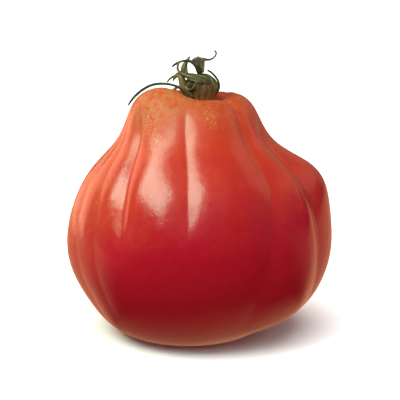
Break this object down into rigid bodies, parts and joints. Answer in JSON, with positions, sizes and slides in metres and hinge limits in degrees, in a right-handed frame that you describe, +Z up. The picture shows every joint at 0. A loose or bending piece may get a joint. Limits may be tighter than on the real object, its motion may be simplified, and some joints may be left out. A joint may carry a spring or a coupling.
{
  "type": "tomato",
  "caption": "Ribbed, pear-shaped oxheart tomato with a hollow crown, its dried calyx of curled sepals and a short stalk stub, resting on the small flat of its base.",
  "frame": {"origin": "middle of the fruit's footprint, at the height of the flat spot it rests on", "axes": "+Z up along the core to the stalk, -Y towards the viewer of the picture, +X to the viewer's right"},
  "size_m": [0.0986, 0.1009, 0.1064],
  "materials": {
    "skin": "glossy thin skin, crimson below, orange-red and tan towards the crown",
    "calyx": "dull, dried olive to brown",
    "stalk": "dull, dried grey-brown"
  },
  "bodies": {
    "root": {"fruit": "skin", "calyx": "calyx", "stalk": "stalk"}
  },
  "joints": []
}
